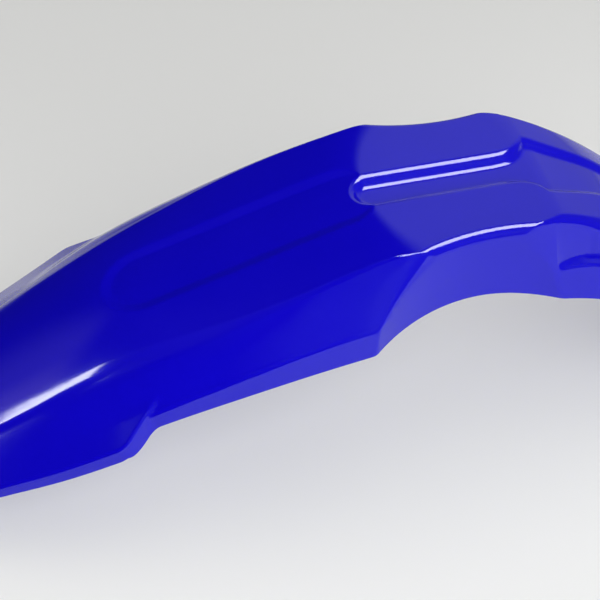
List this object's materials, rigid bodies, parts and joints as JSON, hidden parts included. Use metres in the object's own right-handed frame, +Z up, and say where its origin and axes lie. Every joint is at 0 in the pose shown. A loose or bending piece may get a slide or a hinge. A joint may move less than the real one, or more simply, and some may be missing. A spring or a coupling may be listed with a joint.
{
  "type": "motorcycle front mudguard",
  "caption": "Long arched moulded front mudguard with a ridged blade, stepped side flares, a flat mounting deck waisted to clear the fork legs and a sloping channelled tail.",
  "frame": {"origin": "middle of the length and width, on the floor that the nose and tail stand on", "axes": "+X from the nose to the tail, +Y across, and the part is its own mirror image about Y = 0, +Z up out of the mounting deck"},
  "size_m": [0.6738, 0.204, 0.178],
  "materials": {
    "plastic": "glossy blue injection-moulded polypropylene"
  },
  "bodies": {
    "root": {"front_mudguard": "plastic"}
  },
  "joints": []
}
